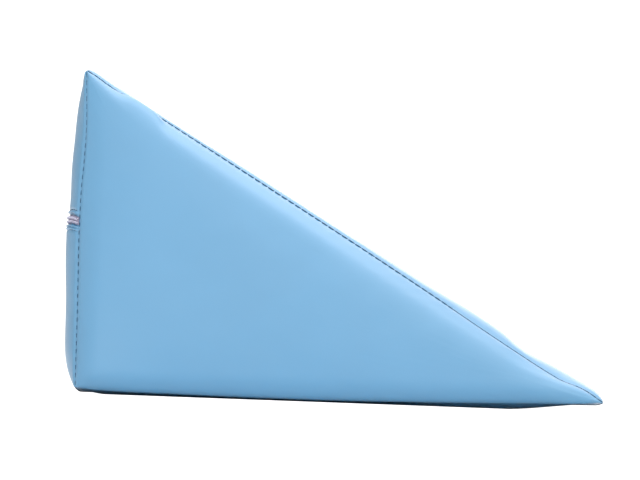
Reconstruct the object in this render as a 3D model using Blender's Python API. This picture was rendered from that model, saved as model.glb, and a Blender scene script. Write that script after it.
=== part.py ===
# Positioning wedge cushion: a right-angled foam wedge that fills one sewn cover of smooth coated
# cloth, with a coil zip across its upright back.
# Units are metres. +X runs from the upright back to the thin tip, Y across the width and +Z up.
# The section's corners are the heel (foot of the back), the apex (top of the back) and the tip.

import math

import bmesh
import bpy
from mathutils import Vector

# Driving sizes, from seam to seam
BASE = 0.300
BACK = 0.1797
WIDTH = 0.600

# Section corners (x, z) where they meet a side panel, and halfway across the width
SIDE_CORNERS = {"heel": (0.0, 0.0036), "apex": (-0.0006, 0.0036 + BACK), "tip": (BASE, 0.0055)}
MIDDLE_CORNERS = {"heel": (0.0010, 0.0014), "apex": (0.0005, 0.0012 + BACK), "tip": (BASE - 0.0018, 0.0032)}
CORNER_RUN = 0.055

# Panels between the corners, in order round the section
PANELS = {"base": ("heel", "tip"), "slope": ("tip", "apex"), "back": ("apex", "heel")}

# Crown of the slope panel over its seams: (part of the way from the apex, height).
# The cover dips in a crease short of the tip and puffs up again beyond it.
SLOPE_CROWN = [
    (0.00, 0.0040),
    (0.05, 0.0028),
    (0.12, 0.0023),
    (0.21, 0.0017),
    (0.30, 0.0026),
    (0.50, 0.0031),
    (0.65, 0.0036),
    (0.75, 0.0043),
    (0.80, 0.0040),
    (0.838, 0.0021),
    (0.862, 0.0019),
    (0.90, 0.0031),
    (0.95, 0.0045),
    (1.00, 0.0038),
]

# Crown of the back panel over its seams: (part of the way from the heel, height)
BACK_CROWN = [
    (0.00, 0.0074),
    (0.15, 0.0080),
    (0.40, 0.0094),
    (0.52, 0.0094),
    (0.58, 0.0083),
    (0.70, 0.0077),
    (0.80, 0.0063),
    (0.90, 0.0048),
    (0.94, 0.0032),
    (0.97, 0.0023),
    (1.00, 0.0032),
]

# Wander of each side seam off its straight line: (part of the way, distance outwards).
# The slope starts at the apex, the back and the base at the heel. The base seam's is its lift.
SLOPE_SEAM = [
    (0.00, 0.0000),
    (0.03, 0.0006),
    (0.16, 0.0000),
    (0.45, -0.0002),
    (0.65, -0.0010),
    (0.80, -0.0023),
    (0.92, -0.0023),
    (0.96, 0.0002),
    (1.00, 0.0000),
]
BACK_SEAM = [
    (0.00, 0.0000),
    (0.25, 0.0004),
    (0.48, 0.0010),
    (0.65, 0.0000),
    (0.82, -0.0014),
    (0.94, -0.0009),
    (1.00, 0.0000),
]
BASE_SEAM_HEIGHT = [
    (0.00, 0.0036),
    (0.04, 0.0022),
    (0.14, 0.0016),
    (0.42, 0.0011),
    (0.64, 0.0020),
    (0.80, 0.0034),
    (0.91, 0.0047),
    (1.00, 0.0055),
]

# Crown of a side panel, and how far in from each of its seams the crown takes to rise
SIDE_CROWN = 0.0070
SIDE_DOME = 0.0020
SIDE_REACH = {"base": 0.018, "slope": 0.018, "back": 0.022}
SIDE_DRAW = 0.0020

# How far in from its side seams, and from its two corners, each lengthwise panel's crown rises.
# The base panel comes down to the floor over its own distances.
PANEL_REACH = {
    "base": {"side": 0.016, "heel": 0.016, "tip": 0.040},
    "slope": {"side": 0.013, "apex": 0.007, "tip": 0.015},
    "back": {"side": 0.026, "apex": 0.006, "heel": 0.030},
}
BACK_DOME = 0.0021

# The two cloths of a seam turn in together over this depth and distance
SEAM_TURN = 0.0008
SEAM_REACH = 0.0024

# Zip across the back: height of its centre line, its slot, tape and two coils
ZIP_HEIGHT = 0.0988
ZIP_DROOP = 0.0008
ZIP_DROOP_RUN = 0.010
ZIP_END = 0.0020
SLOT_WIDTH = 0.0052
SLOT_DEPTH = 0.0027
TAPE_THICKNESS = 0.0005
COIL_WIDTH = 0.0019
COIL_HEIGHT = 0.0016
COIL_SHOULDER = 0.0006
COIL_STEPS = 6
GAP = 0.0003

# Rise of the two cloth lips beside the zip: (distance from its centre line, rise).
# The dip is the row of stitches that holds the lip down.
LIP_RISE = [
    (0.0000, 0.0005),
    (0.0034, 0.0005),
    (0.0046, 0.0004),
    (0.0058, -0.0004),
    (0.0078, 0.0000),
]
LIP_REACH = 0.008
LIP_CLEAR = 0.002

# Distances from a seam at which the mesh has rows, and the widest spacing between them
ROWS_AT_SEAM = [0.0010, 0.0024, 0.0050, 0.0090, 0.0145, 0.0220]
ROWS_AT_TIP = [0.0340, 0.0410, 0.0480, 0.0525, 0.0570, 0.0620, 0.0700]
ROW_SPACING = 0.022
SECTION_SPACING = 0.045
RING_DISTANCES = ROWS_AT_SEAM + [0.0320]

COVER_COLOUR = (0.215, 0.480, 0.735)
TAPE_COLOUR = (0.700, 0.720, 0.800)
COIL_COLOUR = (0.800, 0.810, 0.860)


def clear_scene():
    for thing in list(bpy.data.objects):
        bpy.data.objects.remove(thing, do_unlink=True)


def cloth_material(name, colour, roughness):
    material = bpy.data.materials.new(name)
    material.use_nodes = True
    shader = material.node_tree.nodes["Principled BSDF"]
    shader.inputs["Base Color"].default_value = (*colour, 1.0)
    shader.inputs["Roughness"].default_value = roughness
    shader.inputs["Metallic"].default_value = 0.0
    return material


def mesh_object(name, build, material):
    mesh = bpy.data.meshes.new(name)
    build.to_mesh(mesh)
    build.free()
    mesh.materials.append(material)
    thing = bpy.data.objects.new(name, mesh)
    bpy.context.scene.collection.objects.link(thing)
    return thing


def ease_out(distance, reach):
    """Rises fast from 0 at no distance, and levels off at 1 at the reach."""
    left = 1.0 - min(max(distance / reach, 0.0), 1.0)
    return 1.0 - left ** 3


def ease_both(distance, reach):
    """Rises from 0 at no distance to 1 at the reach, level at both ends."""
    t = min(max(distance / reach, 0.0), 1.0)
    return 3 * t ** 2 - 2 * t ** 3


def read_table(rows, place):
    """The smooth curve through a table's rows, at one place along it."""
    last = len(rows) - 1
    place = min(max(place, rows[0][0]), rows[last][0])
    index = max(i for i in range(last) if rows[i][0] <= place)

    def slope_at(i):
        before, after = max(i - 1, 0), min(i + 1, last)
        return (rows[after][1] - rows[before][1]) / (rows[after][0] - rows[before][0])

    (start, low), (end, high) = rows[index], rows[index + 1]
    span = end - start
    t = (place - start) / span
    curve_in = (t ** 3 - 2 * t ** 2 + t) * span * slope_at(index)
    curve_out = (t ** 3 - t ** 2) * span * slope_at(index + 1)
    step = 3 * t ** 2 - 2 * t ** 3
    return low * (1 - step) + high * step + curve_in + curve_out


def crown(levels, height):
    """Height of a crown whose edges turn in at the seams, from (distance, reach) of each edge."""
    turned, risen = 1.0, 1.0
    for distance, reach in levels:
        turned *= ease_out(distance, SEAM_REACH)
        risen *= ease_out(distance, reach)
    return SEAM_TURN * turned + (height - SEAM_TURN) * risen


def corner(name, inward):
    """A section corner at a distance inward from the side seam."""
    mix = ease_out(inward, CORNER_RUN)
    return Vector(SIDE_CORNERS[name]).lerp(Vector(MIDDLE_CORNERS[name]), mix)


def panel_line(panel, inward):
    """A panel's two corners, its length and its outward direction in the section."""
    first, second = (corner(name, inward) for name in PANELS[panel])
    run = second - first
    length = run.length
    return first, second, length, Vector((run.y, -run.x)) / length


def straight_distance(panel, point):
    """Distance of a point in the section from a panel's straight line."""
    first, _, _, outward = panel_line(panel, 0.0)
    return max((first - point).dot(outward), 0.0)


def seam_offset(panel, part):
    """How far a side seam wanders outwards, at a part of the way round its own panel."""
    if panel == "slope":
        return read_table(SLOPE_SEAM, 1.0 - part)
    if panel == "back":
        return read_table(BACK_SEAM, 1.0 - part)
    first, second, _, _ = panel_line("base", 0.0)
    return first.lerp(second, part).y - read_table(BASE_SEAM_HEIGHT, part)


def seam_width(panel, part):
    """Half the width between the side seams, which draw in between their corners."""
    _, _, length, _ = panel_line(panel, 0.0)
    along = min(part, 1.0 - part) * length
    return WIDTH / 2 - SIDE_DRAW * ease_out(along, CORNER_RUN)


def lip_rise(height, inward):
    distance = abs(height - zip_height(inward))
    if distance > LIP_RISE[-1][0]:
        return 0.0
    return read_table(LIP_RISE, distance) * ease_out(inward, LIP_REACH)


def panel_rise(panel, part, inward, lips=True):
    """Height of the slope or back panel over its straight line."""
    first, second, length, _ = panel_line(panel, inward)
    reach = PANEL_REACH[panel]
    start, end = PANELS[panel]
    edges = [(inward, reach["side"]), (part * length, reach[start]), ((1 - part) * length, reach[end])]
    if panel == "slope":
        return crown(edges, read_table(SLOPE_CROWN, 1.0 - part))
    dome = BACK_DOME * ease_out(inward, WIDTH / 2)
    rise = crown(edges, read_table(BACK_CROWN, 1.0 - part) + dome)
    if lips:
        rise += lip_rise(first.lerp(second, part).y, inward)
    return rise


def section_point(panel, part, across, lips=True):
    """A point of a lengthwise panel. Across is -1 at the near side seam and 1 at the far one."""
    half = seam_width(panel, part)
    inward = half * (1.0 - abs(across))
    first, second, _, outward = panel_line(panel, inward)
    held = 1.0 - ease_out(inward, PANEL_REACH[panel]["side"])
    straight = first.lerp(second, part) + outward * seam_offset(panel, part) * held
    point = Vector((straight.x, half * across, straight.y))
    if panel == "base":
        return point.lerp(floor_point(part, across), floor_share(part, inward))
    return point + Vector((outward.x, 0.0, outward.y)) * panel_rise(panel, part, inward, lips)


def floor_point(part, across):
    """A point of the flat rectangle on which the base panel rests."""
    heel, tip = MIDDLE_CORNERS["heel"][0], MIDDLE_CORNERS["tip"][0]
    return Vector((heel + (tip - heel) * part, (WIDTH / 2 - SIDE_DRAW) * across, 0.0))


def floor_share(part, inward):
    """How far the base panel has come down from its seams to the floor, from 0 to 1."""
    _, _, length, _ = panel_line("base", inward)
    reach = PANEL_REACH["base"]
    from_heel = ease_both(part * length, reach["heel"])
    from_tip = ease_both((1.0 - part) * length, reach["tip"])
    return from_heel * from_tip * ease_both(inward, reach["side"])


def ring_point(panel, part, inward, side):
    """A point of a side panel, on the ring that runs this far inside its seams."""
    first, second, _, outward = panel_line(panel, 0.0)
    shrink = 1.0 - inward / inscribed_radius()
    middle = inscribed_centre()
    straight = middle + (first.lerp(second, part) - middle) * shrink
    edges = [(straight_distance(name, straight), SIDE_REACH[name]) for name in PANELS]
    risen = crown(edges, SIDE_CROWN)
    dome = SIDE_DOME * (1.0 - shrink ** 2)
    held = 1.0 - ease_out(inward, SIDE_REACH[panel])
    point = straight + outward * seam_offset(panel, part) * held
    half = seam_width(panel, part) * held + (WIDTH / 2 - SIDE_DRAW) * (1.0 - held)
    return Vector((point.x, side * (half + risen + dome), point.y))


def inscribed_radius():
    lengths = [panel_line(panel, 0.0)[2] for panel in PANELS]
    heel, tip, apex = (corner(name, 0.0) for name in ("heel", "tip", "apex"))
    doubled_area = abs((tip - heel).cross(apex - heel))
    return doubled_area / sum(lengths)


def inscribed_centre():
    facing = {"heel": "slope", "tip": "back", "apex": "base"}
    weights = {name: panel_line(panel, 0.0)[2] for name, panel in facing.items()}
    total = sum(weights.values())
    return sum((corner(name, 0.0) * weight for name, weight in weights.items()), Vector((0, 0))) / total


def spread(length, spacing, near_start, near_end):
    """Distances along a length: fine rows at both ends, and even ones between them."""
    start, end = near_start[-1], length - near_end[-1]
    count = max(math.ceil((end - start) / spacing), 1)
    between = [start + (end - start) * i / count for i in range(1, count)]
    return [0.0] + near_start + between + [length - distance for distance in reversed(near_end)]


def panel_rows(panel):
    """Parts of the way round a panel at which the mesh has rows, without its last corner."""
    first, second, length, _ = panel_line(panel, 0.0)
    if panel == "slope":
        rows = spread(length, ROW_SPACING, ROWS_AT_SEAM + ROWS_AT_TIP, ROWS_AT_SEAM)
    else:
        rows = spread(length, ROW_SPACING, ROWS_AT_SEAM, ROWS_AT_SEAM)
    if panel == "back":
        lips = [distance for distance, _ in LIP_RISE[1:]]
        middle = first.y - ZIP_HEIGHT
        clear = [row for row in rows if abs(row - middle) > lips[-1] + LIP_CLEAR]
        rows = sorted(clear + [middle - lip for lip in lips] + [middle + lip for lip in lips])
    return [row / length for row in rows]


def section_rows():
    return [(panel, part) for panel in PANELS for part in panel_rows(panel)]


def across_stations():
    """Places across the width, from -1 to 1, at which the mesh has a section."""
    inwards = spread(WIDTH, SECTION_SPACING, ROWS_AT_SEAM, ROWS_AT_SEAM) + [WIDTH]
    return [2.0 * inward / WIDTH - 1.0 for inward in inwards]


def skin_loops(build, loops):
    """Joins closed loops of points, one after the other, into a skin with its two ends filled."""
    made = [[build.verts.new(point) for point in loop] for loop in loops]
    for one, two in zip(made, made[1:]):
        for i in range(len(one)):
            following = (i + 1) % len(one)
            build.faces.new((one[i], one[following], two[following], two[i]))
    build.faces.new(made[0])
    build.faces.new(reversed(made[-1]))
    bmesh.ops.recalc_face_normals(build, faces=build.faces)


def cushion_body(material):
    """The filled cover: rings of the near side panel, sections across, rings of the far one."""
    rows = section_rows()
    near = [[ring_point(*row, inward, -1) for row in rows] for inward in reversed(RING_DISTANCES)]
    across = [[section_point(*row, place) for row in rows] for place in across_stations()]
    far = [[ring_point(*row, inward, 1) for row in rows] for inward in RING_DISTANCES]
    build = bmesh.new()
    skin_loops(build, near + across + far)
    body = mesh_object("cushion", build, material)
    body.data.shade_smooth()
    return body


def zip_height(inward):
    """The zip's centre line sinks a little where it rolls round to a side seam."""
    return ZIP_HEIGHT - ZIP_DROOP * (1.0 - ease_out(inward, ZIP_DROOP_RUN))


def zip_path():
    """Points on the back's surface along the zip, each with its outward direction."""
    inwards = [ZIP_END] + [distance for distance in ROWS_AT_SEAM if distance > ZIP_END]
    width = WIDTH - 2 * SIDE_DRAW
    points = []
    for station in spread(width, SECTION_SPACING, inwards, inwards)[1:]:
        across = 2.0 * station / width - 1.0
        inward = min(station, width - station)
        first, second, _, _ = panel_line("back", inward)
        part = (first.y - zip_height(inward)) / (first.y - second.y)
        points.append(section_point("back", part, across, lips=False))
    path = []
    for i, point in enumerate(points):
        along = points[min(i + 1, len(points) - 1)] - points[max(i - 1, 0)]
        path.append((point, Vector((-along.y, along.x, 0.0)).normalized()))
    return path


def lengthened(path, extra):
    """The same path with its two ends moved on along themselves, or back where extra is below 0."""
    longer = list(path)
    for end, inner in ((0, 1), (-1, -2)):
        along = (path[end][0] - path[inner][0]).normalized()
        longer[end] = (path[end][0] + along * extra, path[end][1])
    return longer


def swept(name, outline, path, material):
    """Sweeps an outline of (outward, upward) points along the zip's path."""
    loops = [[point + outward * out + Vector((0, 0, up)) for out, up in outline] for point, outward in path]
    build = bmesh.new()
    skin_loops(build, loops)
    return mesh_object(name, build, material)


def box_outline(low_out, high_out, low_up, high_up):
    return [(low_out, low_up), (high_out, low_up), (high_out, high_up), (low_out, high_up)]


def coil_outline(base, edge, sign):
    """A rounded rib, flat underneath and rounded on top, one coil of the zip."""
    points = [(base, edge), (base, edge + sign * COIL_WIDTH)]
    for i in range(COIL_STEPS + 1):
        angle = math.pi * i / COIL_STEPS
        up = edge + sign * COIL_WIDTH * (0.5 + 0.5 * math.cos(angle))
        out = base + COIL_SHOULDER + (COIL_HEIGHT - COIL_SHOULDER) * math.sin(angle)
        points.append((out, up))
    return points


def cut_slot(body, path, material):
    """Cuts the slot between the two lips, in which the zip lies."""
    half = SLOT_WIDTH / 2
    cutter = swept("slot_cutter", box_outline(-SLOT_DEPTH, SLOT_DEPTH, -half, half), path, material)
    cutter.hide_render = True
    cutter.display_type = "WIRE"
    cut = body.modifiers.new("slot", "BOOLEAN")
    cut.operation = "DIFFERENCE"
    cut.object = cutter
    return cutter


def zip_tape(path, material):
    floor = GAP - SLOT_DEPTH
    half = SLOT_WIDTH / 2 - GAP
    return swept("zip_tape", box_outline(floor, floor + TAPE_THICKNESS, -half, half), path, material)


def zip_coil(name, sign, path, material):
    base = 2 * GAP - SLOT_DEPTH + TAPE_THICKNESS
    return swept(name, coil_outline(base, sign * GAP / 2, sign), path, material)


def stand_on_origin(things, body):
    """Moves everything so that the body's box stands centred on the origin."""
    points = [vertex.co for vertex in body.data.vertices]
    middle_x = (min(p.x for p in points) + max(p.x for p in points)) / 2
    lowest = min(p.z for p in points)
    for thing in things:
        thing.location = (-middle_x, 0.0, -lowest)


def main():
    clear_scene()
    cover = cloth_material("sky_blue_coated_cloth", COVER_COLOUR, 0.42)
    tape = cloth_material("white_zip_tape", TAPE_COLOUR, 0.80)
    coil = cloth_material("white_zip_coil", COIL_COLOUR, 0.45)

    body = cushion_body(cover)
    path = zip_path()
    cutter = cut_slot(body, path, cover)
    shorter = lengthened(path, -GAP)
    things = [
        body,
        cutter,
        zip_tape(shorter, tape),
        zip_coil("zip_coil_upper", 1, shorter, coil),
        zip_coil("zip_coil_lower", -1, shorter, coil),
    ]
    stand_on_origin(things, body)


main()
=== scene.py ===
# Positioning wedge cushion: the looks of a foam wedge in a sewn cover of smooth coated cloth,
# with stitched seams and a coil zip across its upright back.
# Units are metres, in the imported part's own frame: +X from the back to the thin tip, Y across.

import math

import bpy
import numpy as np
from mathutils import Matrix, Vector


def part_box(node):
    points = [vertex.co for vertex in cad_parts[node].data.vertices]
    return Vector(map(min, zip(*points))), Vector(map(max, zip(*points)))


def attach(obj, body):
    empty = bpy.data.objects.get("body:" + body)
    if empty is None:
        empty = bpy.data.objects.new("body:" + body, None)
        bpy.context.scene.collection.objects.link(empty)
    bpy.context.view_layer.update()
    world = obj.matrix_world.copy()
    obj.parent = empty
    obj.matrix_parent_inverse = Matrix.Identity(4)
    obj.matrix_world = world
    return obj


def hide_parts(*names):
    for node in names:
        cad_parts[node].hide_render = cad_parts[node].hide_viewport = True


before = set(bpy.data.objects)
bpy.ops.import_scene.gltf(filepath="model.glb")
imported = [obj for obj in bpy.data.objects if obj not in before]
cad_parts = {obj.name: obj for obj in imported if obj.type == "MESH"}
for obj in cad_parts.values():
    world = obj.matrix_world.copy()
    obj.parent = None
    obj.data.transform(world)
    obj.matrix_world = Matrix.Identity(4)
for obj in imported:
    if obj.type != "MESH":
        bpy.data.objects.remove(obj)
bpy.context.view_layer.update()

# Driving sizes, from seam to seam
BASE = 0.300
BACK = 0.1797
WIDTH = 0.600

# Section corners (x, z) where they meet a side panel, and halfway across the width
SIDE_CORNERS = {"heel": (0.0, 0.0036), "apex": (-0.0003, 0.0041 + BACK), "tip": (BASE, 0.0055)}
MIDDLE_CORNERS = {"heel": (0.0010, 0.0014), "apex": (0.0005, 0.0012 + BACK), "tip": (BASE - 0.0018, 0.0044)}
CORNER_RUN = 0.055
PANELS = {"base": ("heel", "tip"), "slope": ("tip", "apex"), "back": ("apex", "heel")}

# Crown of the slope panel over its seams: (part of the way from the apex, height)
SLOPE_CROWN = [
    (0.00, 0.0032),
    (0.02, 0.0029),
    (0.036, 0.0025),
    (0.053, 0.0026),
    (0.07, 0.0029),
    (0.12, 0.0026),
    (0.21, 0.0024),
    (0.30, 0.0031),
    (0.50, 0.0034),
    (0.65, 0.0038),
    (0.75, 0.0045),
    (0.80, 0.0042),
    (0.838, 0.0023),
    (0.862, 0.0021),
    (0.90, 0.0033),
    (0.95, 0.0043),
    (0.98, 0.0047),
    (1.00, 0.0046),
]

# Crown of the back panel over its seams: (part of the way from the heel, height)
BACK_CROWN = [
    (0.00, 0.0074),
    (0.15, 0.0080),
    (0.40, 0.0094),
    (0.52, 0.0094),
    (0.58, 0.0083),
    (0.70, 0.0077),
    (0.80, 0.0064),
    (0.90, 0.0053),
    (0.94, 0.0043),
    (0.97, 0.0032),
    (1.00, 0.0036),
]

# Wander of the slope and back seams off their straight lines, as (part of the way, distance outwards),
# and the base seam's height over the floor. The slope starts at the apex, the back and base at the heel.
SLOPE_SEAM = [
    (0.00, 0.0000),
    (0.02, 0.0000),
    (0.037, -0.0004),
    (0.055, -0.0006),
    (0.08, -0.0007),
    (0.12, -0.0003),
    (0.16, 0.0000),
    (0.45, -0.0002),
    (0.65, -0.0010),
    (0.80, -0.0023),
    (0.92, -0.0023),
    (0.96, 0.0002),
    (1.00, 0.0000),
]
BACK_SEAM = [
    (0.00, 0.0000),
    (0.25, 0.0004),
    (0.48, 0.0010),
    (0.62, 0.0007),
    (0.71, -0.0003),
    (0.82, -0.0010),
    (0.94, -0.0004),
    (1.00, 0.0000),
]
BASE_SEAM_HEIGHT = [
    (0.00, 0.0036),
    (0.04, 0.0022),
    (0.14, 0.0016),
    (0.42, 0.0011),
    (0.64, 0.0019),
    (0.80, 0.0031),
    (0.89, 0.0039),
    (0.94, 0.0042),
    (1.00, 0.0055),
]

# Crown of a side panel, its extra height in the middle, and how far in from each seam it takes to rise.
# Beside the slope seam it rises faster near the apex, where the whole panel is flatter too:
# (part of the way from the apex, share of the reach, or of the crown)
SIDE_CROWN = 0.0070
SIDE_DOME = 0.0020
SIDE_REACH = {"base": 0.011, "slope": 0.018, "back": 0.016}
SLOPE_SHARE = [
    (0.00, 0.48),
    (0.07, 0.48),
    (0.11, 0.58),
    (0.16, 0.70),
    (0.22, 0.82),
    (0.45, 1.00),
    (0.65, 1.25),
    (0.90, 1.30),
    (1.00, 1.00),
]
APEX_SHARE = [
    (0.00, 0.45),
    (0.05, 0.52),
    (0.12, 0.78),
    (0.20, 1.00),
    (1.00, 1.00),
]

# How far inside a side panel its seams' wander dies out, and how far they draw in between the corners
SIDE_HOLD = 0.018
SIDE_DRAW = 0.0020

# How far in from each edge the other panels take to rise, or the base to come down to the floor,
# the back's extra height halfway across, and the turn with which each crown leaves its seams
PANEL_REACH = {
    "base": {"side": 0.016, "heel": 0.016, "tip": 0.055},
    "slope": {"side": 0.013, "apex": 0.007, "tip": 0.011},
    "back": {"side": 0.026, "apex": 0.006, "heel": 0.030},
}
BACK_DOME = 0.0021
SEAM_TURN = 0.0012
SEAM_REACH = 0.0017

# Below the apex the side panel rolls a little over the slope seam: (part of the way from the apex, height)
SLOPE_ROLL = [
    (0.00, 0.0000),
    (0.055, 0.0000),
    (0.085, 0.0027),
    (0.125, 0.0024),
    (0.155, 0.0000),
    (1.00, 0.0000),
]
ROLL_CREST = 0.0014
ROLL_REACH = 0.0110

# Zip across the back: its height, how it sinks towards the side seams, how far around it the back's
# rows follow it, how far inside the side seams it begins, and the length of the steps along it
ZIP_HEIGHT = 0.0991
ZIP_DROOP = 0.0014
ZIP_DROOP_RUN = 0.011
ZIP_SHIFT_RUN = 0.020
ZIP_INSET = 0.0004
ZIP_STEP = 0.002

# Profiles of the folded lips above and below the zip: (distance from the zip's centre line, height over
# the back panel). They come up within LIP_FADE of a side seam, and the back's own rows keep LIP_CLEAR
# away from them.
UPPER_LIP = [
    (0.0000, -0.0016),
    (0.0014, -0.0016),
    (0.0024, -0.0016),
    (0.00262, -0.0014),
    (0.00272, -0.0009),
    (0.00290, -0.0006),
    (0.00315, -0.0005),
    (0.00335, -0.0007),
    (0.00352, -0.0006),
    (0.00372, -0.0001),
    (0.00398, 0.0005),
    (0.00432, 0.0007),
    (0.00472, 0.0006),
    (0.00512, 0.0002),
    (0.00550, -0.0004),
    (0.00582, -0.0004),
    (0.00625, 0.0000),
    (0.00780, 0.0001),
]
LOWER_LIP = [
    (0.0000, -0.0016),
    (0.0014, -0.0016),
    (0.0024, -0.0016),
    (0.00278, -0.0013),
    (0.00292, -0.0006),
    (0.00306, 0.0001),
    (0.00328, 0.0005),
    (0.00358, 0.0006),
    (0.00388, 0.0004),
    (0.00412, -0.0002),
    (0.00436, -0.0003),
    (0.00460, 0.0001),
    (0.00490, 0.0005),
    (0.00522, 0.0005),
    (0.00552, 0.0001),
    (0.00580, -0.0004),
    (0.00608, -0.0004),
    (0.00650, 0.0000),
    (0.00780, 0.0001),
]
LIP_FADE = 0.0005
LIP_CLEAR = 0.0015

# The zip's tape: half its width, where it lies, its thickness, and its raised middle's half width at
# the crest and at the foot, and rise. The wire of each coil winds round an oval, which lies COIL_OUT out
# of the panel and COIL_UP above or below the zip's centre line, and has these two halves.
TAPE_HALF = 0.0023
TAPE_FLOOR = -0.00135
TAPE_THICKNESS = 0.0005
TAPE_RIB = (0.00038, 0.00058, 0.00045)
COIL_STEPS = 12
COIL_PITCH = 0.00127
COIL_WIRE = 0.00030
COIL_OUT = -0.00003
COIL_OUT_HALF = 0.00050
COIL_UP = 0.00116
COIL_UP_HALF = 0.00041

# Rows of the cover's mesh: distances from a seam, and the spacing beyond them. The rows that aren't on
# the back take OFF_ZIP, which is far from the zip, as their height over it.
FINE_ROWS = [
    0.0004, 0.0008, 0.0013, 0.0019, 0.0026, 0.0035, 0.0046,
    0.0060, 0.0078, 0.0100, 0.0125, 0.0155, 0.0190, 0.0230,
]
ROW_SPACING = {"base": 0.0045, "slope": 0.0032, "back": 0.0040}
SECTION_SPACING = 0.0052
RING_SPACING = 0.0024
OFF_ZIP = 1.0

# The least length by which anything is divided
TINY = 1e-12

# Unevenness of the cloth: gentle waves, as (length, seed, height), which start away from the seams,
# and puckers across the side seams, which fade away from them
WAVES = [(0.070, 3, 0.00016), (0.026, 5, 0.00005)]
WAVE_COUNT = 8
WAVE_SPREAD = (0.7, 1.6)
WAVE_START = 0.02
PUCKER_LENGTH = 0.0085
PUCKER_SEED = 11
PUCKER_HEIGHT = 0.00010
PUCKER_STRETCH = 0.25
PUCKER_FADE = 0.0045
PUCKER_START = 0.0020
PUCKER_CORNER = 0.004

# Stitches: pitch and length along the seam, and radius of the thread. SEAM_BESIDE is how far beside a
# seam the cloth is read to find which way its valley opens, and ACROSS_END how far the seams across the
# width go towards the side seams. The lips' stitches run LIP_VALLEY above and below the zip's centre line,
# a little under the panel. STITCH_SHARES are shares of the radius: how far a stitch's middle rises out,
# how far its ends dip from there, and how much of its thickness they lose.
SEAM_PITCH = 0.0045
SEAM_STITCH = {"slope": 0.0042, "back": 0.0029}
SEAM_THREAD = {"slope": 0.00047, "back": 0.00028}
SEAM_BESIDE = 0.0016
SEAM_STEPS = 240
ACROSS_STEPS = 300
ACROSS_END = 0.992
LIP_PITCH = 0.0032
LIP_STITCH = 0.0026
LIP_THREAD = 0.00024
LIP_VALLEY = {1: 0.0056, -1: 0.0059}
LIP_SINK = -0.0006
LIP_INSET = 0.001
STITCH_STEPS = 7
STITCH_SHARES = (0.9, 1.9, 0.45)

# Tubes: their sides, and how steeply one may start and still be turned by the upward direction
TUBE_SIDES = 6
TUBE_STEEP = 0.8

# Cloth simulation: a coarser copy of the cover, sewn down along its seams, base and zip and pressed out
# by the foam. Its movement is capped, blurred on the side panels and faded out towards the side seams.
CLOTH_MARKS = [0.0045, 0.0105, 0.0180]
CLOTH_SPACING = 0.0090
CLOTH_LIP = [(0.0, 0.0), (0.0040, 0.0), (0.0078, 0.0)]
CLOTH_ZIP = 0.0085
CLOTH_FRAMES = 20
CLOTH_SETTINGS = {
    "quality": 6,
    "mass": 0.2,
    "tension_stiffness": 30.0,
    "compression_stiffness": 20.0,
    "shear_stiffness": 12.0,
    "bending_stiffness": 8.0,
    "vertex_group_mass": "sewn",
    "use_pressure": True,
    "uniform_pressure_force": 2.5,
    "shrink_min": -0.001,
}
CLOTH_LIMIT = 0.0010
CLOTH_BLUR = 0.010
CLOTH_EDGE = 0.050

# Camera: the photograph looks at the near side panel face on, from near the floor, a little rolled
VIEW_DISTANCE = 2.6
VIEW_WIDTH = 0.36371
VIEW_CENTRE = (0.1359, 0.0921)
VIEW_HEIGHT = 0.0005
VIEW_ROLL = math.radians(2.097)
VIEW_CLIP = (0.1, 30.0)
SENSOR = 36.0

# Light: a white studio, brightest in front and dimmer to the left and behind, two large soft panels
# above and behind that only show as gloss, and one in front that doesn't:
# (name, power, size, distance, direction, the kind of ray that misses it)
WORLD_FRONT = 1.94
WORLD_BACK = 0.88
WORLD_DEEP = (-0.35, 0.45)
WORLD_LEFT = 0.64
WORLD_TURN = (-0.45, 0.12)
WORLD_SEEN = 1.3
LAMP_COLOUR = (1.0, 0.93, 1.0)
LAMPS = [
    ("key", 34.0, 2.2, 1.7, (0.0, -0.31, 0.95), "visible_diffuse"),
    ("rim", 31.0, 2.3, 2.0, (0.40, 0.60, 0.69), "visible_diffuse"),
    ("fill", 8.0, 1.5, 1.8, (0.0, -0.75, 0.66), "visible_glossy"),
]

# Colours, the floor's half width, and the soft mottling that every material has
COVER_COLOUR = (0.030, 0.203, 0.371)
# The thread's colour is its own blue darkened by painted shade, standing in for the shade in the seam
# valleys where it lies
THREAD_COLOUR_WITH_PAINTED_SHADE = (0.018, 0.066, 0.125)
TAPE_COLOUR = (0.300, 0.280, 0.380)
COIL_COLOUR = (0.480, 0.470, 0.580)
FLOOR_COLOUR = (0.940, 0.940, 0.940)
FLOOR_REACH = 6.0
MOTTLE_DETAIL = 3.0
MOTTLE_ROUGHNESS = 0.55
MOTTLE_RANGE = (0.3, 0.7)


def ease_out(distance, reach):
    """Rises fast from 0 at no distance, and levels off at 1 at the reach."""
    return 1.0 - (1.0 - np.clip(np.asarray(distance) / reach, 0.0, 1.0)) ** 3


def ease_both(distance, reach):
    """Rises from 0 at no distance to 1 at the reach, level at both ends."""
    t = np.clip(np.asarray(distance) / reach, 0.0, 1.0)
    return 3 * t ** 2 - 2 * t ** 3


def curve_through(places, values, at):
    """The smooth curve through values at places, read at other places. A value may be an array."""
    x, y, at = np.asarray(places, float), np.asarray(values, float), np.asarray(at, float)
    order = np.arange(len(x))
    before, after = np.maximum(order - 1, 0), np.minimum(order + 1, len(x) - 1)
    deep = (1,) * (y.ndim - 1)
    slope = (y[after] - y[before]) / (x[after] - x[before]).reshape((-1,) + deep)
    held = np.clip(at, x[0], x[-1])
    i = np.clip(np.searchsorted(x, held, side="right") - 1, 0, len(x) - 2)
    span = (x[i + 1] - x[i]).reshape(at.shape + deep)
    t = (held - x[i]).reshape(at.shape + deep) / span
    step = 3 * t ** 2 - 2 * t ** 3
    bend = (t ** 3 - 2 * t ** 2 + t) * span * slope[i] + (t ** 3 - t ** 2) * span * slope[i + 1]
    return y[i] * (1 - step) + y[i + 1] * step + bend


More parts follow.
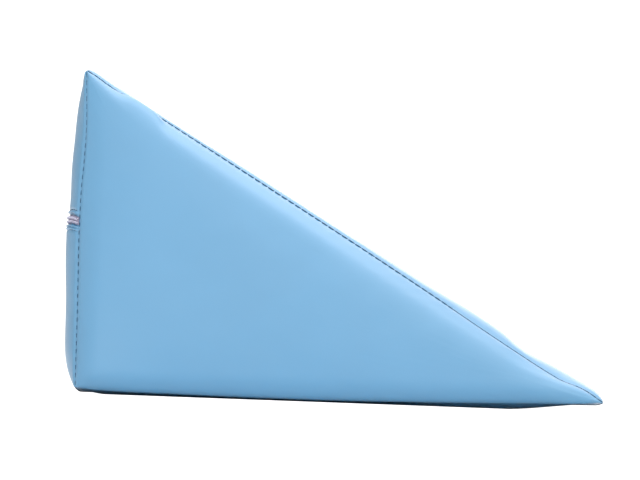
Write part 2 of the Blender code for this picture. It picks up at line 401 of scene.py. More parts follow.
def read_table(rows, at):
    places, values = zip(*rows)
    return curve_through(places, values, at)


def crown(levels, height):
    """Height of a crown whose edges turn in at the seams, from (distance, reach) of each edge."""
    turned, risen = 1.0, 1.0
    for distance, reach in levels:
        turned = turned * ease_out(distance, SEAM_REACH)
        risen = risen * ease_out(distance, reach)
    return SEAM_TURN * turned + (height - SEAM_TURN) * risen


def corner(name, inward):
    """A section corner (x, z) at a distance inward from the side seam."""
    mix = ease_out(inward, CORNER_RUN)[..., None]
    return np.array(SIDE_CORNERS[name]) * (1 - mix) + np.array(MIDDLE_CORNERS[name]) * mix


def panel_line(panel, inward):
    """A panel's two corners, its length and its outward direction in the section."""
    first, second = (corner(name, np.asarray(inward, float)) for name in PANELS[panel])
    run = second - first
    length = np.linalg.norm(run, axis=-1)
    outward = np.stack((run[..., 1], -run[..., 0]), axis=-1) / length[..., None]
    return first, second, length, outward


def seam_offset(panel, part):
    """How far a side seam wanders outwards, at a part of the way round its own panel."""
    if panel == "slope":
        return read_table(SLOPE_SEAM, 1.0 - part)
    if panel == "back":
        return read_table(BACK_SEAM, 1.0 - part)
    (_, start), (_, end) = SIDE_CORNERS["heel"], SIDE_CORNERS["tip"]
    return start + (end - start) * part - read_table(BASE_SEAM_HEIGHT, part)


def seam_width(panel, part):
    """Half the width between the side seams, which draw in between their corners."""
    _, _, length, _ = panel_line(panel, 0.0)
    return WIDTH / 2 - SIDE_DRAW * ease_both(np.minimum(part, 1.0 - part) * length, CORNER_RUN)


def panel_rise(panel, part, inward, length):
    """Height of the slope or back panel over its straight line."""
    reach = PANEL_REACH[panel]
    start, end = PANELS[panel]
    edges = [(inward, reach["side"]), (part * length, reach[start]), ((1 - part) * length, reach[end])]
    if panel == "slope":
        return crown(edges, read_table(SLOPE_CROWN, 1.0 - part))
    dome = BACK_DOME * ease_out(inward, WIDTH / 2)
    return crown(edges, read_table(BACK_CROWN, 1.0 - part) + dome)


def lengthwise(panel, part, across):
    """Points of a lengthwise panel. Across is -1 at the near side seam and 1 at the far one."""
    part, across = np.broadcast_arrays(np.asarray(part, float), np.asarray(across, float))
    half = seam_width(panel, part)
    inward = half * (1.0 - np.abs(across))
    first, second, length, outward = panel_line(panel, inward)
    held = 1.0 - ease_out(inward, PANEL_REACH[panel]["side"])
    rise = seam_offset(panel, part) * held
    if panel != "base":
        rise = rise + panel_rise(panel, part, inward, length)
    flat = first + (second - first) * part[..., None] + outward * rise[..., None]
    points = np.stack((flat[..., 0], half * across, flat[..., 1]), axis=-1)
    if panel == "base":
        share = floor_share(part, inward, length)[..., None]
        return points * (1 - share) + floor_point(part, across) * share
    return points


def floor_point(part, across):
    """A point of the flat rectangle on which the base panel rests."""
    heel, tip = MIDDLE_CORNERS["heel"][0], MIDDLE_CORNERS["tip"][0]
    return np.stack((heel + (tip - heel) * part, (WIDTH / 2 - SIDE_DRAW) * across, 0 * part), axis=-1)


def floor_share(part, inward, length):
    """How far the base panel has come down from its seams to the floor, from 0 to 1."""
    reach = PANEL_REACH["base"]
    from_heel = ease_both(part * length, reach["heel"])
    from_tip = ease_both((1.0 - part) * length, reach["tip"])
    return from_heel * from_tip * ease_both(inward, reach["side"])


def inscribed_circle():
    """Centre and radius of the circle inside a side panel's three seams."""
    facing = {"heel": "slope", "tip": "back", "apex": "base"}
    weights = {name: float(panel_line(panel, 0.0)[2]) for name, panel in facing.items()}
    total = sum(weights.values())
    centre = sum(np.array(SIDE_CORNERS[name]) * weight for name, weight in weights.items()) / total
    heel, tip, apex = (np.array(SIDE_CORNERS[name]) for name in ("heel", "tip", "apex"))
    (ax, az), (bx, bz) = tip - heel, apex - heel
    return centre, abs(ax * bz - az * bx) / total


def side_ring(panel, part, inward, side):
    """Points of a side panel, on the rings that run this far inside its seams."""
    part, inward = np.broadcast_arrays(np.asarray(part, float), np.asarray(inward, float))
    first, second, _, outward = panel_line(panel, 0.0)
    centre, radius = inscribed_circle()
    shrink = 1.0 - inward / radius
    straight = centre + (first + (second - first) * part[..., None] - centre) * shrink[..., None]
    edges, shares = [], []
    for name in PANELS:
        start, end, length, away = panel_line(name, 0.0)
        reach = SIDE_REACH[name]
        if name == "slope":
            along = (straight - end) @ (start - end) / length ** 2
            reach = reach * read_table(SLOPE_SHARE, along)
        distance = np.maximum((start - straight) @ away, 0.0)
        edges.append((distance, reach))
        shares.append(distance * length)
    dome = len(shares) ** 3 * np.prod(shares, axis=0) / np.sum(shares, axis=0) ** 3
    risen = crown(edges, SIDE_CROWN * read_table(APEX_SHARE, along)) + SIDE_DOME * dome
    held = 1.0 - ease_out(inward, SIDE_HOLD)
    shift = seam_offset(panel, part) * held
    if panel == "slope":
        crest = ease_out(inward, ROLL_CREST) * (1.0 - ease_both(inward, ROLL_REACH))
        shift = shift + read_table(SLOPE_ROLL, 1.0 - part) * crest
    flat = straight + outward * shift[..., None]
    to_corners = [np.linalg.norm(straight - np.array(place), axis=-1) for place in SIDE_CORNERS.values()]
    half = WIDTH / 2 - SIDE_DRAW * ease_both(np.min(to_corners, axis=0), CORNER_RUN)
    return np.stack((flat[..., 0], side * (half + risen), flat[..., 1]), axis=-1)


def spread(length, spacing, marks):
    """Distances along a length: given rows at both ends, and even ones between them."""
    start, end = marks[-1], length - marks[-1]
    count = max(math.ceil((end - start) / spacing), 1)
    between = [start + (end - start) * i / count for i in range(1, count)]
    return [0.0] + marks + between + [length - mark for mark in reversed(marks)]


def zip_height(inward):
    """The zip's centre line sinks a little where it rolls round to a side seam."""
    return ZIP_HEIGHT - ZIP_DROOP * (1.0 - ease_out(inward, ZIP_DROOP_RUN))


def dropped(part, inward):
    """How far a row of the back panel has sunk on its way inward from the side seam."""
    heights = []
    for place in (0.0, inward):
        first, second, _, _ = panel_line("back", place)
        heights.append(first[..., 1] + (second - first)[..., 1] * part)
    return heights[0] - heights[1]


def cover_rows(marks, spacings, above, below):
    """Rows round the section, as (panel, part, height over the zip's centre line, lift)."""
    rows = []
    for panel in PANELS:
        first, _, length, _ = panel_line(panel, 0.0)
        places = spread(float(length), spacings[panel], marks)
        if panel != "back":
            rows += [(panel, place / length, OFF_ZIP, 0.0) for place in places]
            continue
        middle = float(first[1]) - ZIP_HEIGHT
        clear = above[-1][0] + LIP_CLEAR
        over = [(place, 0.0) for place in places if middle - place > clear]
        over += [(middle - away, lift) for away, lift in reversed(above)]
        under = [(middle + away, lift) for away, lift in below[1:]]
        under += [(place, 0.0) for place in places if place - middle > clear]
        rows += [(panel, place / length, middle - place, lift) for place, lift in over + under]
    return rows


def cover_skin(rows, rings, stations):
    """Points of the whole cover: near side's rings, sections across, and far side's rings."""
    loops = []
    for side, inwards in ((-1, rings[::-1]), (0, stations), (1, rings)):
        blocks = []
        for panel in PANELS:
            part = np.array([row[1] for row in rows if row[0] == panel])
            rise = np.array([row[2] for row in rows if row[0] == panel])
            lift = np.array([row[3] for row in rows if row[0] == panel])
            if side:
                blocks.append(side_ring(panel, part[None, :], np.array(inwards)[:, None], side))
                continue
            across = 2.0 * np.array(inwards)[:, None] / WIDTH - 1.0
            inward = WIDTH / 2 * (1.0 - np.abs(across))
            if panel != "back":
                blocks.append(lengthwise(panel, part[None, :], across))
                continue
            near_zip = 1.0 - np.clip((np.abs(rise) - UPPER_LIP[-1][0]) / ZIP_SHIFT_RUN, 0.0, 1.0)
            sink = (ZIP_HEIGHT - zip_height(inward) - dropped(part[None, :], inward)) * near_zip[None, :]
            points = lengthwise(panel, part[None, :] + sink / BACK, across)
            points[..., 0] -= lift[None, :] * np.clip(inward / LIP_FADE, 0.0, 1.0)
            blocks.append(points)
        loops.append(np.concatenate(blocks, axis=1))
    return np.concatenate(loops, axis=0)


def row_places(rows):
    """Place of each row round the section: whole numbers at the corners."""
    order = list(PANELS)
    return np.array([order.index(row[0]) + row[1] for row in rows])


def loop_places(rings, stations):
    """Place of each loop across the cover: 0 at the near side seam and WIDTH at the far one."""
    return np.array([-ring for ring in reversed(rings)] + list(stations) + [WIDTH + ring for ring in rings])


def grid_normals(points):
    """Outward directions over a grid of loops, each closed on itself."""
    along = np.roll(points, -1, axis=1) - np.roll(points, 1, axis=1)
    across = np.gradient(points, axis=0)
    normals = np.cross(across, along)
    normals /= np.maximum(np.linalg.norm(normals, axis=-1, keepdims=True), TINY)
    middle = points.shape[0] // 2
    outside = points[middle] - points[middle].mean(axis=0)
    return normals * np.sign((normals[middle] * outside).sum())


def soft_waves(u, v, length, seed):
    """Irregular soft waves over a surface, of about this length, mostly between -1 and 1."""
    draw = np.random.default_rng(seed)
    turn = 2 * math.pi
    total = 0.0
    for _ in range(WAVE_COUNT):
        angle, scale, phase = draw.uniform(0, turn), draw.uniform(*WAVE_SPREAD), draw.uniform(0, turn)
        along = u * math.cos(angle) + v * math.sin(angle)
        total = total + np.sin(turn * along / (length * scale) + phase)
    return total / math.sqrt(WAVE_COUNT)


def mesh_piece(name, points, faces, material, smooth=True):
    """A new object from an array of points and a list of faces."""
    mesh = bpy.data.meshes.new(name)
    mesh.from_pydata([tuple(point) for point in points], [], faces)
    if material:
        mesh.materials.append(material)
    mesh.polygons.foreach_set("use_smooth", [smooth] * len(mesh.polygons))
    mesh.update()
    thing = bpy.data.objects.new(name, mesh)
    bpy.context.scene.collection.objects.link(thing)
    return thing


def skin_faces(loop_count, row_count):
    """Quads between closed loops, and a fan of triangles to a centre point at each end."""
    faces = []
    for loop in range(loop_count - 1):
        here, there = loop * row_count, (loop + 1) * row_count
        for row in range(row_count):
            following = (row + 1) % row_count
            faces.append((here + row, here + following, there + following, there + row))
    centre, last = loop_count * row_count, (loop_count - 1) * row_count
    for row in range(row_count):
        following = (row + 1) % row_count
        faces.append((following, row, centre))
        faces.append((last + row, last + following, centre + 1))
    return faces


def face_outwards(mesh):
    """Turns the faces over if they enclose the piece inside out."""
    mesh.calc_loop_triangles()
    points = np.array([vertex.co for vertex in mesh.vertices])
    triangles = np.array([triangle.vertices for triangle in mesh.loop_triangles])
    a, b, c = (points[triangles[:, i]] for i in range(3))
    if (a * np.cross(b, c)).sum() < 0:
        mesh.flip_normals()


def clear_of_seams(points, reach):
    """For points of a side panel: 0 at each of its seams, and 1 beyond the reach of all of them."""
    clear = 1.0
    for panel in PANELS:
        start, _, _, away = panel_line(panel, 0.0)
        clear = clear * ease_both((start - points[..., ::2]) @ away, reach)
    return clear


def relief(rows, points, places):
    """Small unevenness of the sewn cloth: gentle waves, and puckers beside the seams."""
    part = np.array([row[1] for row in rows])
    lengths = np.array([float(panel_line(row[0], 0.0)[2]) for row in rows])
    is_base = np.array([row[0] == "base" for row in rows])
    along = part * lengths
    to_corner = np.minimum(along, lengths - along)
    from_side = np.minimum(np.abs(places), np.abs(places - WIDTH))[:, None]
    steps = np.linalg.norm(np.diff(points[len(places) // 2], axis=0), axis=1)
    round_place = np.concatenate(([0.0], np.cumsum(steps)))
    u, v = np.broadcast_arrays(round_place[None, :], places[:, None])
    on_side = ((places < 0.0) | (places > WIDTH))[:, None]
    flat_u = np.where(on_side, points[..., 0], u)
    flat_v = np.where(on_side, points[..., 2], v)
    away = ease_out(from_side, WAVE_START) * ease_out(to_corner[None, :], WAVE_START)
    away = np.where(on_side, clear_of_seams(points, WAVE_START), away)
    gentle = sum(height * soft_waves(flat_u, flat_v, length, seed) for length, seed, height in WAVES)
    pucker = soft_waves(u, v * PUCKER_STRETCH, PUCKER_LENGTH, PUCKER_SEED) * np.exp(-from_side / PUCKER_FADE)
    pucker = pucker * ease_out(from_side, PUCKER_START) * ease_out(to_corner[None, :], PUCKER_CORNER)
    calm = np.where(is_base[None, :] & ~on_side, 0.0, 1.0)
    return calm * (gentle * away + PUCKER_HEIGHT * pucker)


def grid_marks(marks, spacings, section_spacing, ring_spacing, above, below):
    """Rows round the section, rings on the side panels and stations across the width."""
    _, radius = inscribed_circle()
    count = math.ceil((radius - marks[-1]) / ring_spacing)
    rings = marks + [marks[-1] + (radius - marks[-1]) * i / count for i in range(1, count)]
    stations = spread(WIDTH, section_spacing, marks) + [WIDTH]
    return cover_rows(marks, spacings, above, below), rings, stations


def swelling():
    """Simulates the cloth on a coarser grid: its rows' and loops' places, its points and their moves."""
    spacings = dict.fromkeys(PANELS, CLOTH_SPACING)
    coarse = (CLOTH_MARKS, spacings, CLOTH_SPACING, CLOTH_SPACING, CLOTH_LIP, CLOTH_LIP)
    rows, rings, stations = grid_marks(*coarse)
    points = cover_skin(rows, rings, stations)
    across = loop_places(rings, stations)
    loops, around = points.shape[:2]
    centres = [points[0].mean(axis=0), points[-1].mean(axis=0)]
    start = np.concatenate((points.reshape(-1, 3), centres))
    cloth = mesh_piece("cloth", start, skin_faces(loops, around), None)
    face_outwards(cloth.data)
    sewn_row = [part == 0.0 or panel == "base" or abs(rise) < CLOTH_ZIP for panel, part, rise, _ in rows]
    sewn_loop = np.isin(across, (0.0, WIDTH))
    on_side = (across < 0.0) | (across > WIDTH)
    sewn = (np.array(sewn_row)[None, :] & ~on_side[:, None]) | sewn_loop[:, None]
    pins = cloth.vertex_groups.new(name="sewn")
    pins.add([int(index) for index in np.flatnonzero(sewn)], 1.0, "REPLACE")
    modifier = cloth.modifiers.new("Cloth", "CLOTH")
    modifier.collision_settings.use_collision = False
    modifier.collision_settings.use_self_collision = False
    modifier.point_cache.frame_start = 1
    modifier.point_cache.frame_end = CLOTH_FRAMES
    for name, value in CLOTH_SETTINGS.items():
        setattr(modifier.settings, name, value)
    modifier.settings.effector_weights.gravity = 0.0
    for number in range(1, CLOTH_FRAMES + 1):
        bpy.context.scene.frame_set(number)
    shaped = cloth.evaluated_get(bpy.context.evaluated_depsgraph_get())
    result = np.array([tuple(vertex.co) for vertex in shaped.data.vertices])
    bpy.data.objects.remove(cloth)
    bpy.context.scene.frame_set(1)
    moved = (result - start)[:loops * around].reshape(loops, around, 3)
    size = np.linalg.norm(moved, axis=-1, keepdims=True)
    moved = moved * np.minimum(1.0, CLOTH_LIMIT / np.maximum(size, TINY))
    return row_places(rows), across, points, moved


def read_swelling(swell, rows, places, points):
    """The simulated movement, read off at the points of a finer grid."""
    row_at, loop_at, from_points, moved = swell
    closed_at = np.append(row_at, len(PANELS))
    closed = np.concatenate((moved, moved[:, :1]), axis=1)
    over_loops = curve_through(loop_at, closed, places)
    result = curve_through(closed_at, over_loops.swapaxes(0, 1), row_places(rows)).swapaxes(0, 1)
    result = result * ease_both(np.minimum(places, WIDTH - places), CLOTH_EDGE)[:, None, None]
    for here, there in ((places < 0.0, loop_at <= 0.0), (places > WIDTH, loop_at >= WIDTH)):
        flat_here, flat_there = points[here][..., ::2], from_points[there][..., ::2].reshape(-1, 2)
        known = moved[there].reshape(-1, 3)
        for loop, line in zip(np.flatnonzero(here), flat_here):
            away = ((line[:, None] - flat_there[None]) ** 2).sum(axis=-1)
            weight = np.exp(-away / (2 * CLOTH_BLUR ** 2))
            blurred = weight @ known / weight.sum(axis=1, keepdims=True)
            result[loop] = blurred * clear_of_seams(points[loop], CLOTH_BLUR)[:, None]
    return result


def make_cover(material):
    fine = (FINE_ROWS, ROW_SPACING, SECTION_SPACING, RING_SPACING, UPPER_LIP, LOWER_LIP)
    rows, rings, stations = grid_marks(*fine)
    points = cover_skin(rows, rings, stations)
    places = loop_places(rings, stations)
    points = points + grid_normals(points) * relief(rows, points, places)[..., None]
    points = points + read_swelling(swelling(), rows, places, points)
    centres = [points[0].mean(axis=0), points[-1].mean(axis=0)]
    loops, around = points.shape[:2]
    everything = np.concatenate((points.reshape(-1, 3), centres)) + PLACED
    cover = mesh_piece("cushion_cover", everything, skin_faces(loops, around), material)
    face_outwards(cover.data)
    normals = np.concatenate((grid_normals(points).reshape(-1, 3), [(0.0, -1.0, 0.0), (0.0, 1.0, 0.0)]))
    cover.data.normals_split_custom_set_from_vertices([tuple(normal) for normal in normals])
    return cover


def placed_shift():
    """The shift from the seams' own frame, with its heel at x = 0, into the part's frame."""
    return np.array([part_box("cushion")[1].x - BASE, 0.0, 0.0])


def swept_faces(count, sides):
    """Faces round a row of closed outlines, one after another, with a flat face at each end."""
    faces = []
    for i in range(count - 1):
        for j in range(sides):
            k = (j + 1) % sides
            faces.append((i * sides + k, i * sides + j, (i + 1) * sides + j, (i + 1) * sides + k))
    faces.append(tuple(range(sides)))
    faces.append(tuple((count - 1) * sides + j for j in reversed(range(sides))))
    return faces


def tube(path, radius):
    """Points and faces of a tube along a path of points, with a radius at each point."""
    tangent = np.gradient(path, axis=0)
    tangent /= np.linalg.norm(tangent, axis=1, keepdims=True)
    start = (0.0, 0.0, 1.0) if abs(tangent[0][2]) < TUBE_STEEP else (1.0, 0.0, 0.0)
    side = np.cross(tangent, start)
    side /= np.linalg.norm(side, axis=1, keepdims=True)
    up = np.cross(side, tangent)
    angles = np.linspace(0, 2 * math.pi, TUBE_SIDES, endpoint=False)
    ring = np.cos(angles)[None, :, None] * side[:, None] + np.sin(angles)[None, :, None] * up[:, None]
    points = path[:, None] + ring * np.broadcast_to(radius, (len(path),))[:, None, None]
    return points.reshape(-1, 3), swept_faces(len(path), TUBE_SIDES)


def joined(parts):
    """Joins several (points, faces) into one."""
    points, faces, start = [], [], 0
    for some_points, some_faces in parts:
        points.append(some_points)
        faces += [tuple(start + index for index in face) for face in some_faces]
        start += len(some_points)
    return np.concatenate(points), faces


def stitches(path, outward, pitch, length, thread):
    """Short threads along a path, each dipping into the cloth at its two ends."""
    risen, dipped, tapered = STITCH_SHARES
    steps = np.linalg.norm(np.diff(path, axis=0), axis=1)
    measure = np.concatenate(([0.0], np.cumsum(steps)))
    total = measure[-1]
    count = max(int(total / pitch), 1)
    profile = np.linspace(-1.0, 1.0, STITCH_STEPS)
    parts = []
    for i in range(count):
        middle = (i + 0.5) * total / count
        places = middle + profile * length / 2
        if places[0] < 0 or places[-1] > total:
            continue
        centre = np.stack([np.interp(places, measure, path[:, axis]) for axis in range(3)], axis=1)
        away = np.stack([np.interp(places, measure, outward[:, axis]) for axis in range(3)], axis=1)
        dip = thread * (risen - dipped * profile ** 4)
        radius = thread * (1.0 - tapered * profile ** 4)
        parts.append(tube(centre + away * dip[:, None], radius))
    return parts


def seam_paths():
    """Each sewn seam as points and outward directions, side seams first."""
    paths = []
    for side in (-1.0, 1.0):
        for panel in PANELS:
            part = np.linspace(0.0, 1.0, SEAM_STEPS)
            points = lengthwise(panel, part, side)
            inner = lengthwise(panel, part, side * (1.0 - 2 * SEAM_BESIDE / WIDTH))
            ring = side_ring(panel, part, SEAM_BESIDE, side)
            paths.append((panel, points, away_from(points, inner, ring)))
    for panel in PANELS:
        across = np.linspace(-ACROSS_END, ACROSS_END, ACROSS_STEPS)
        points = lengthwise(panel, 0.0, across)
        inner = lengthwise(panel, SEAM_BESIDE / BASE, across)
        before = list(PANELS)[list(PANELS).index(panel) - 1]
        other = lengthwise(before, 1.0 - SEAM_BESIDE / BASE, across)
        paths.append((PANELS[panel][0], points, away_from(points, inner, other)))
    return paths


def away_from(points, one, two):
    """Directions that point out of a valley, away from the cloth on both its sides."""
    inside = np.array((BASE / 3, 0.0, BACK / 3))
    outward = points - inside
    rise = (one + two) / 2 - points
    rise /= np.maximum(np.linalg.norm(rise, axis=1, keepdims=True), TINY)
    sign = np.sign((rise * outward).sum(axis=1, keepdims=True))
    return rise * np.where(sign == 0, 1, sign)


def make_seam_stitches(material):
    parts = []
    for name, points, outward in seam_paths():
        if name == "base":
            continue
        kind = name if name in SEAM_STITCH else "back"
        parts += stitches(points, outward, SEAM_PITCH, SEAM_STITCH[kind], SEAM_THREAD[kind])
    points, faces = joined(parts)
    return mesh_piece("seam_stitches", points + PLACED, faces, material)


def zip_line(offset, lift, inset, step):
    """Points along the back, at a height over the zip's centre line, and outward directions."""
    count = int((WIDTH - 2 * inset) / step) + 1
    inward_from_near = np.linspace(inset, WIDTH - inset, count)
    across = 2.0 * inward_from_near / WIDTH - 1.0
    inward = np.minimum(inward_from_near, WIDTH - inward_from_near)
    first, second, _, _ = panel_line("back", inward)
    part = (first[:, 1] - zip_height(inward) - offset) / (first[:, 1] - second[:, 1])
    points = lengthwise("back", part, across)
    along = np.gradient(points, axis=0)
    outward = np.stack((-along[:, 1], along[:, 0], 0 * along[:, 0]), axis=1)
    outward /= np.linalg.norm(outward, axis=1, keepdims=True)
    return points + outward * lift, outward


def make_lip_stitches(material):
    parts = []
    for sign, valley in LIP_VALLEY.items():
        points, outward = zip_line(sign * valley, LIP_SINK, LIP_INSET, ZIP_STEP)
        parts += stitches(points, outward, LIP_PITCH, LIP_STITCH, LIP_THREAD)
    points, faces = joined(parts)
    return mesh_piece("lip_stitches", points + PLACED, faces, material)


def make_tape(material):
    low, outward = zip_line(0.0, TAPE_FLOOR, ZIP_INSET, ZIP_STEP)
    crest, foot, rise = TAPE_RIB
    face = TAPE_THICKNESS
    half = [(crest, face + rise), (foot, face), (TAPE_HALF, face), (TAPE_HALF, 0.0)]
    outline = [(-up, out) for up, out in reversed(half)] + half
    loops = [low + outward * out + np.array((0.0, 0.0, up)) for up, out in outline]
    points = np.stack(loops, axis=1).reshape(-1, 3)
    faces = swept_faces(len(low), len(outline))
    tape = mesh_piece("woven_tape", points + PLACED, faces, material, smooth=False)
    face_outwards(tape.data)
    return tape


def make_coil(name, sign, material):
    """One row of the zip's coil: a flattened spring that lies on the tape."""
    turns = int((WIDTH - 2 * ZIP_INSET) / COIL_PITCH)
    surface, outward = zip_line(0.0, 0.0, ZIP_INSET, COIL_PITCH / COIL_STEPS)
    angle = np.linspace(0.0, turns * 2 * math.pi, len(surface)) + (0.0 if sign > 0 else math.pi)
    out = COIL_OUT + COIL_OUT_HALF * np.cos(angle)
    up = sign * (COIL_UP + COIL_UP_HALF * np.sin(angle))
    path = surface + outward * out[:, None] + np.stack((0 * up, 0 * up, up), axis=1)
    points, faces = tube(path, COIL_WIRE)
    return mesh_piece(name, points + PLACED, faces, material)


def new_material(name, colour, roughness):
    material = bpy.data.materials.new(name)
    material.use_nodes = True
    shader = material.node_tree.nodes["Principled BSDF"]
    shader.inputs["Base Color"].default_value = (*colour, 1.0)
    shader.inputs["Roughness"].default_value = roughness
    return material, material.node_tree, shader


def add_node(tree, kind, **settings):
    node = tree.nodes.new(kind)
    for name, value in settings.items():
        if name in node.inputs:
            node.inputs[name].default_value = value
        else:
            setattr(node, name, value)
    return node


def mottled(tree, shader, colour, spread_by, scale):
    """Colour that varies softly over the surface, a little darker and lighter than its mean."""
    place = add_node(tree, "ShaderNodeTexCoord")
    settings = {"Scale": scale, "Detail": MOTTLE_DETAIL, "Roughness": MOTTLE_ROUGHNESS}
    noise = add_node(tree, "ShaderNodeTexNoise", **settings)
    ramp = add_node(tree, "ShaderNodeValToRGB")
    shades = (1 - spread_by, 1 + spread_by)
    for element, position, shade in zip(ramp.color_ramp.elements, MOTTLE_RANGE, shades):
        element.position = position
        element.color = (*(channel * shade for channel in colour), 1.0)
    tree.links.new(place.outputs["Object"], noise.inputs["Vector"])
    tree.links.new(noise.outputs["Fac"], ramp.inputs["Fac"])
    tree.links.new(ramp.outputs["Color"], shader.inputs["Base Color"])
    return place


def bumped(tree, shader, place, heights, distance, strength):
    """Adds height textures together, each as (kind, settings, weight), and bumps the surface by them."""
    total = None
    for kind, settings, weight in heights:
        texture = add_node(tree, kind, **settings)
        tree.links.new(place.outputs["Object"], texture.inputs["Vector"])
        scaled = add_node(tree, "ShaderNodeMath", operation="MULTIPLY")
        scaled.inputs[1].default_value = weight
        tree.links.new(texture.outputs[0], scaled.inputs[0])
        if total is None:
            total = scaled
            continue
        summed = add_node(tree, "ShaderNodeMath", operation="ADD")
        tree.links.new(total.outputs[0], summed.inputs[0])
        tree.links.new(scaled.outputs[0], summed.inputs[1])
        total = summed
    bump = add_node(tree, "ShaderNodeBump", Distance=distance, Strength=strength)
    tree.links.new(total.outputs[0], bump.inputs["Height"])
    tree.links.new(bump.outputs["Normal"], shader.inputs["Normal"])


def cover_material():
    material, tree, shader = new_material("sky_blue_coated_cloth", COVER_COLOUR, roughness=0.5)
    shader.inputs["Coat Weight"].default_value = 1.0
    shader.inputs["Coat IOR"].default_value = 1.8
    shader.inputs["Coat Roughness"].default_value = 0.37
    place = mottled(tree, shader, COVER_COLOUR, spread_by=0.02, scale=22.0)
    grain = ("ShaderNodeTexVoronoi", {"Scale": 1300.0, "feature": "SMOOTH_F1", "Smoothness": 0.6}, 0.7)
    fine = ("ShaderNodeTexNoise", {"Scale": 2600.0, "Detail": 2.0}, 0.3)
    bumped(tree, shader, place, [grain, fine], distance=0.00003, strength=0.5)
    return material


def thread_and_painted_shade_material():
    # Dark blue thread: its real blue plus painted shade of the seam valleys, so the seams read as dark lines
    material, tree, shader = new_material("blue_thread_with_painted_seam_shade", THREAD_COLOUR_WITH_PAINTED_SHADE, roughness=0.7)
    place = mottled(tree, shader, THREAD_COLOUR_WITH_PAINTED_SHADE, spread_by=0.12, scale=900.0)
    twist = {"Scale": 900.0, "wave_type": "BANDS", "bands_direction": "DIAGONAL", "Distortion": 1.0}
    bumped(tree, shader, place, [("ShaderNodeTexWave", twist, 1.0)], distance=0.0001, strength=0.6)
    return material


def tape_material():
    material, tree, shader = new_material("pale_woven_tape", TAPE_COLOUR, roughness=0.85)
    place = mottled(tree, shader, TAPE_COLOUR, spread_by=0.05, scale=700.0)
    warp = ("ShaderNodeTexWave", {"Scale": 700.0, "wave_type": "BANDS", "bands_direction": "Y"}, 0.5)
    weft = ("ShaderNodeTexWave", {"Scale": 900.0, "wave_type": "BANDS", "bands_direction": "Z"}, 0.5)
    bumped(tree, shader, place, [warp, weft], distance=0.0001, strength=0.7)
    return material


def coil_material():
    material, tree, shader = new_material("pale_nylon_coil", COIL_COLOUR, roughness=0.4)
    place = mottled(tree, shader, COIL_COLOUR, spread_by=0.03, scale=400.0)
    haze = ("ShaderNodeTexNoise", {"Scale": 3000.0, "Detail": 2.0}, 1.0)
    bumped(tree, shader, place, [haze], distance=0.00003, strength=0.4)
    return material


def floor_material():
    material, tree, shader = new_material("pale_floor", FLOOR_COLOUR, roughness=0.9)
    place = mottled(tree, shader, FLOOR_COLOUR, spread_by=0.01, scale=3.0)
    rough = ("ShaderNodeTexNoise", {"Scale": 90.0, "Detail": 3.0}, 1.0)
    bumped(tree, shader, place, [rough], distance=0.0002, strength=0.3)
    return material


def make_floor(material):
    reach = FLOOR_REACH
    corners = [(-reach, -reach, 0.0), (reach, -reach, 0.0), (reach, reach, 0.0), (-reach, reach, 0.0)]
    return mesh_piece("floor", corners, [(0, 1, 2, 3)], material, smooth=False)


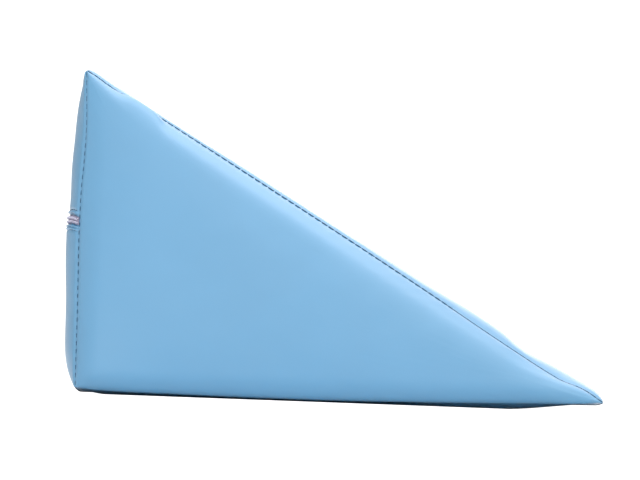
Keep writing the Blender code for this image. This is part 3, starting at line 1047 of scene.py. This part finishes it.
def make_world():
    """A white studio, dimmer to the left and behind, which looks evenly white itself."""
    world = bpy.data.worlds.new("studio")
    world.use_nodes = True
    tree = world.node_tree
    background = tree.nodes["Background"]
    background.inputs["Color"].default_value = (1.0, 1.0, 1.0, 1.0)
    place = add_node(tree, "ShaderNodeTexCoord")
    split = add_node(tree, "ShaderNodeSeparateXYZ")
    ranges = {"X": WORLD_TURN + (WORLD_LEFT, 1.0), "Y": WORLD_DEEP + (WORLD_FRONT, WORLD_BACK)}
    strength = add_node(tree, "ShaderNodeMath", operation="MULTIPLY")
    for slot, (axis, values) in enumerate(ranges.items()):
        turn = add_node(tree, "ShaderNodeMapRange", interpolation_type="SMOOTHSTEP")
        for name, value in zip(("From Min", "From Max", "To Min", "To Max"), values):
            turn.inputs[name].default_value = value
        tree.links.new(split.outputs[axis], turn.inputs["Value"])
        tree.links.new(turn.outputs["Result"], strength.inputs[slot])
    ray = add_node(tree, "ShaderNodeLightPath")
    seen = add_node(tree, "ShaderNodeMix", data_type="FLOAT", B=WORLD_SEEN)
    tree.links.new(place.outputs["Generated"], split.inputs["Vector"])
    tree.links.new(ray.outputs["Is Camera Ray"], seen.inputs["Factor"])
    tree.links.new(strength.outputs["Value"], seen.inputs["A"])
    tree.links.new(seen.outputs["Result"], background.inputs["Strength"])
    bpy.context.scene.world = world


def make_lamps():
    for name, power, size, away, towards, missed_by in LAMPS:
        data = bpy.data.lights.new(name, "AREA")
        data.energy = power
        data.size = size
        data.color = LAMP_COLOUR
        lamp = bpy.data.objects.new(name, data)
        direction = Vector(towards).normalized()
        lamp.location = Vector((0.0, 0.0, BACK / 2)) + direction * away
        lamp.rotation_euler = direction.to_track_quat("Z", "Y").to_euler()
        lamp.visible_camera = False
        setattr(lamp, missed_by, False)
        bpy.context.scene.collection.objects.link(lamp)


def make_camera():
    data = bpy.data.cameras.new("camera")
    data.sensor_width = SENSOR
    data.lens = SENSOR * VIEW_DISTANCE / VIEW_WIDTH
    data.clip_start, data.clip_end = VIEW_CLIP
    camera = bpy.data.objects.new("camera", data)
    x, z = VIEW_CENTRE
    tilt = math.atan2(z - VIEW_HEIGHT, VIEW_DISTANCE)
    camera.matrix_world = (
        Matrix.Translation((x + PLACED[0], -WIDTH / 2 - VIEW_DISTANCE, VIEW_HEIGHT))
        @ Matrix.Rotation(math.pi / 2 + tilt, 4, "X")
        @ Matrix.Rotation(VIEW_ROLL, 4, "Z")
    )
    bpy.context.scene.collection.objects.link(camera)
    bpy.context.scene.camera = camera


PLACED = placed_shift()

make_camera()
make_world()
make_lamps()
cloth = cover_material()
thread = thread_and_painted_shade_material()
coil = coil_material()

cover = make_cover(cloth)
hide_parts("cushion")

seam_threads = make_seam_stitches(thread)
lip_threads = make_lip_stitches(thread)

tape = make_tape(tape_material())
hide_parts("zip_tape")
upper_coil = make_coil("upper_coil", 1, coil)
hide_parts("zip_coil_upper")
lower_coil = make_coil("lower_coil", -1, coil)
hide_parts("zip_coil_lower")

for piece in (cover, seam_threads, lip_threads, tape, upper_coil, lower_coil):
    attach(piece, "root")
make_floor(floor_material())

bpy.context.scene.view_settings.view_transform = "Standard"
bpy.context.scene.view_settings.look = "None"
